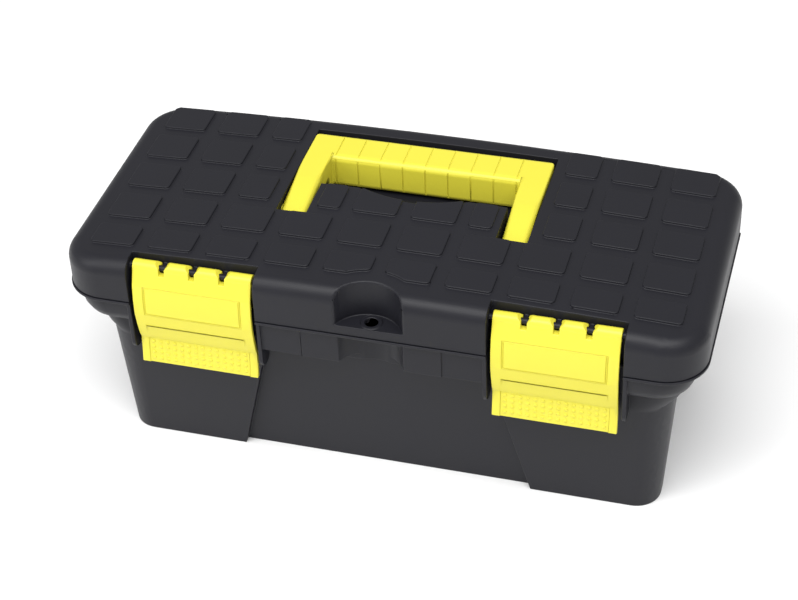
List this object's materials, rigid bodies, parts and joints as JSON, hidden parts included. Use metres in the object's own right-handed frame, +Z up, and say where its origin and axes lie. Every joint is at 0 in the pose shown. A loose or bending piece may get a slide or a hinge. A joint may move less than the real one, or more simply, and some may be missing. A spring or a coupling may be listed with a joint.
{
  "type": "tool box",
  "caption": "Small moulded tool box: drafted tub, crowned tiled lid on rear hinges, folding carry handle, front latches and a lift-out tray with dividers.",
  "frame": {"origin": "on the ground, below the middle of the box", "axes": "+X along the length to the right, +Y to the back (the latches face -Y), +Z up"},
  "size_m": [0.3222, 0.1466, 0.1245],
  "materials": {
    "black_plastic": "matte, fine grain",
    "yellow_plastic": "satin",
    "grey_plastic": "matte",
    "steel": "drawn wire"
  },
  "bodies": {
    "tub": {"tub": "black_plastic", "hinge_pin_left": "steel", "hinge_pin_right": "steel"},
    "lid": {"lid": "black_plastic"},
    "carry_handle": {"carry_handle": "yellow_plastic"},
    "latch_left": {"latch_left": "yellow_plastic"},
    "latch_right": {"latch_right": "yellow_plastic"},
    "tray": {"tray": "black_plastic"},
    "tray_divider_left": {"tray_divider_left": "grey_plastic"},
    "tray_divider_right": {"tray_divider_right": "grey_plastic"}
  },
  "joints": [
    {"name": "lid_hinge", "type": "hinge", "parent": "tub", "child": "lid", "pos_m": [0, 0.0694, 0.0955], "axis": [-1, 0, 0], "range_deg": [0, 100]},
    {"name": "handle_pivot", "type": "hinge", "parent": "lid", "child": "carry_handle", "pos_m": [0, -0.004, 0.115], "axis": [1, 0, 0], "range_deg": [0, 90]},
    {"name": "latch_left_pivot", "type": "hinge", "parent": "lid", "child": "latch_left", "pos_m": [-0.0905, -0.065, 0.1162], "axis": [-1, 0, 0], "range_deg": [0, 100]},
    {"name": "latch_right_pivot", "type": "hinge", "parent": "lid", "child": "latch_right", "pos_m": [0.0905, -0.065, 0.1162], "axis": [-1, 0, 0], "range_deg": [0, 100]},
    {"name": "tray_lift", "type": "slide", "parent": "tub", "child": "tray", "axis": [0, 0, 1], "range_m": [0, 0.012]},
    {"name": "divider_left_lift", "type": "slide", "parent": "tray", "child": "tray_divider_left", "axis": [0, 0, 1], "range_m": [0, 0.012]},
    {"name": "divider_right_lift", "type": "slide", "parent": "tray", "child": "tray_divider_right", "axis": [0, 0, 1], "range_m": [0, 0.012]}
  ]
}
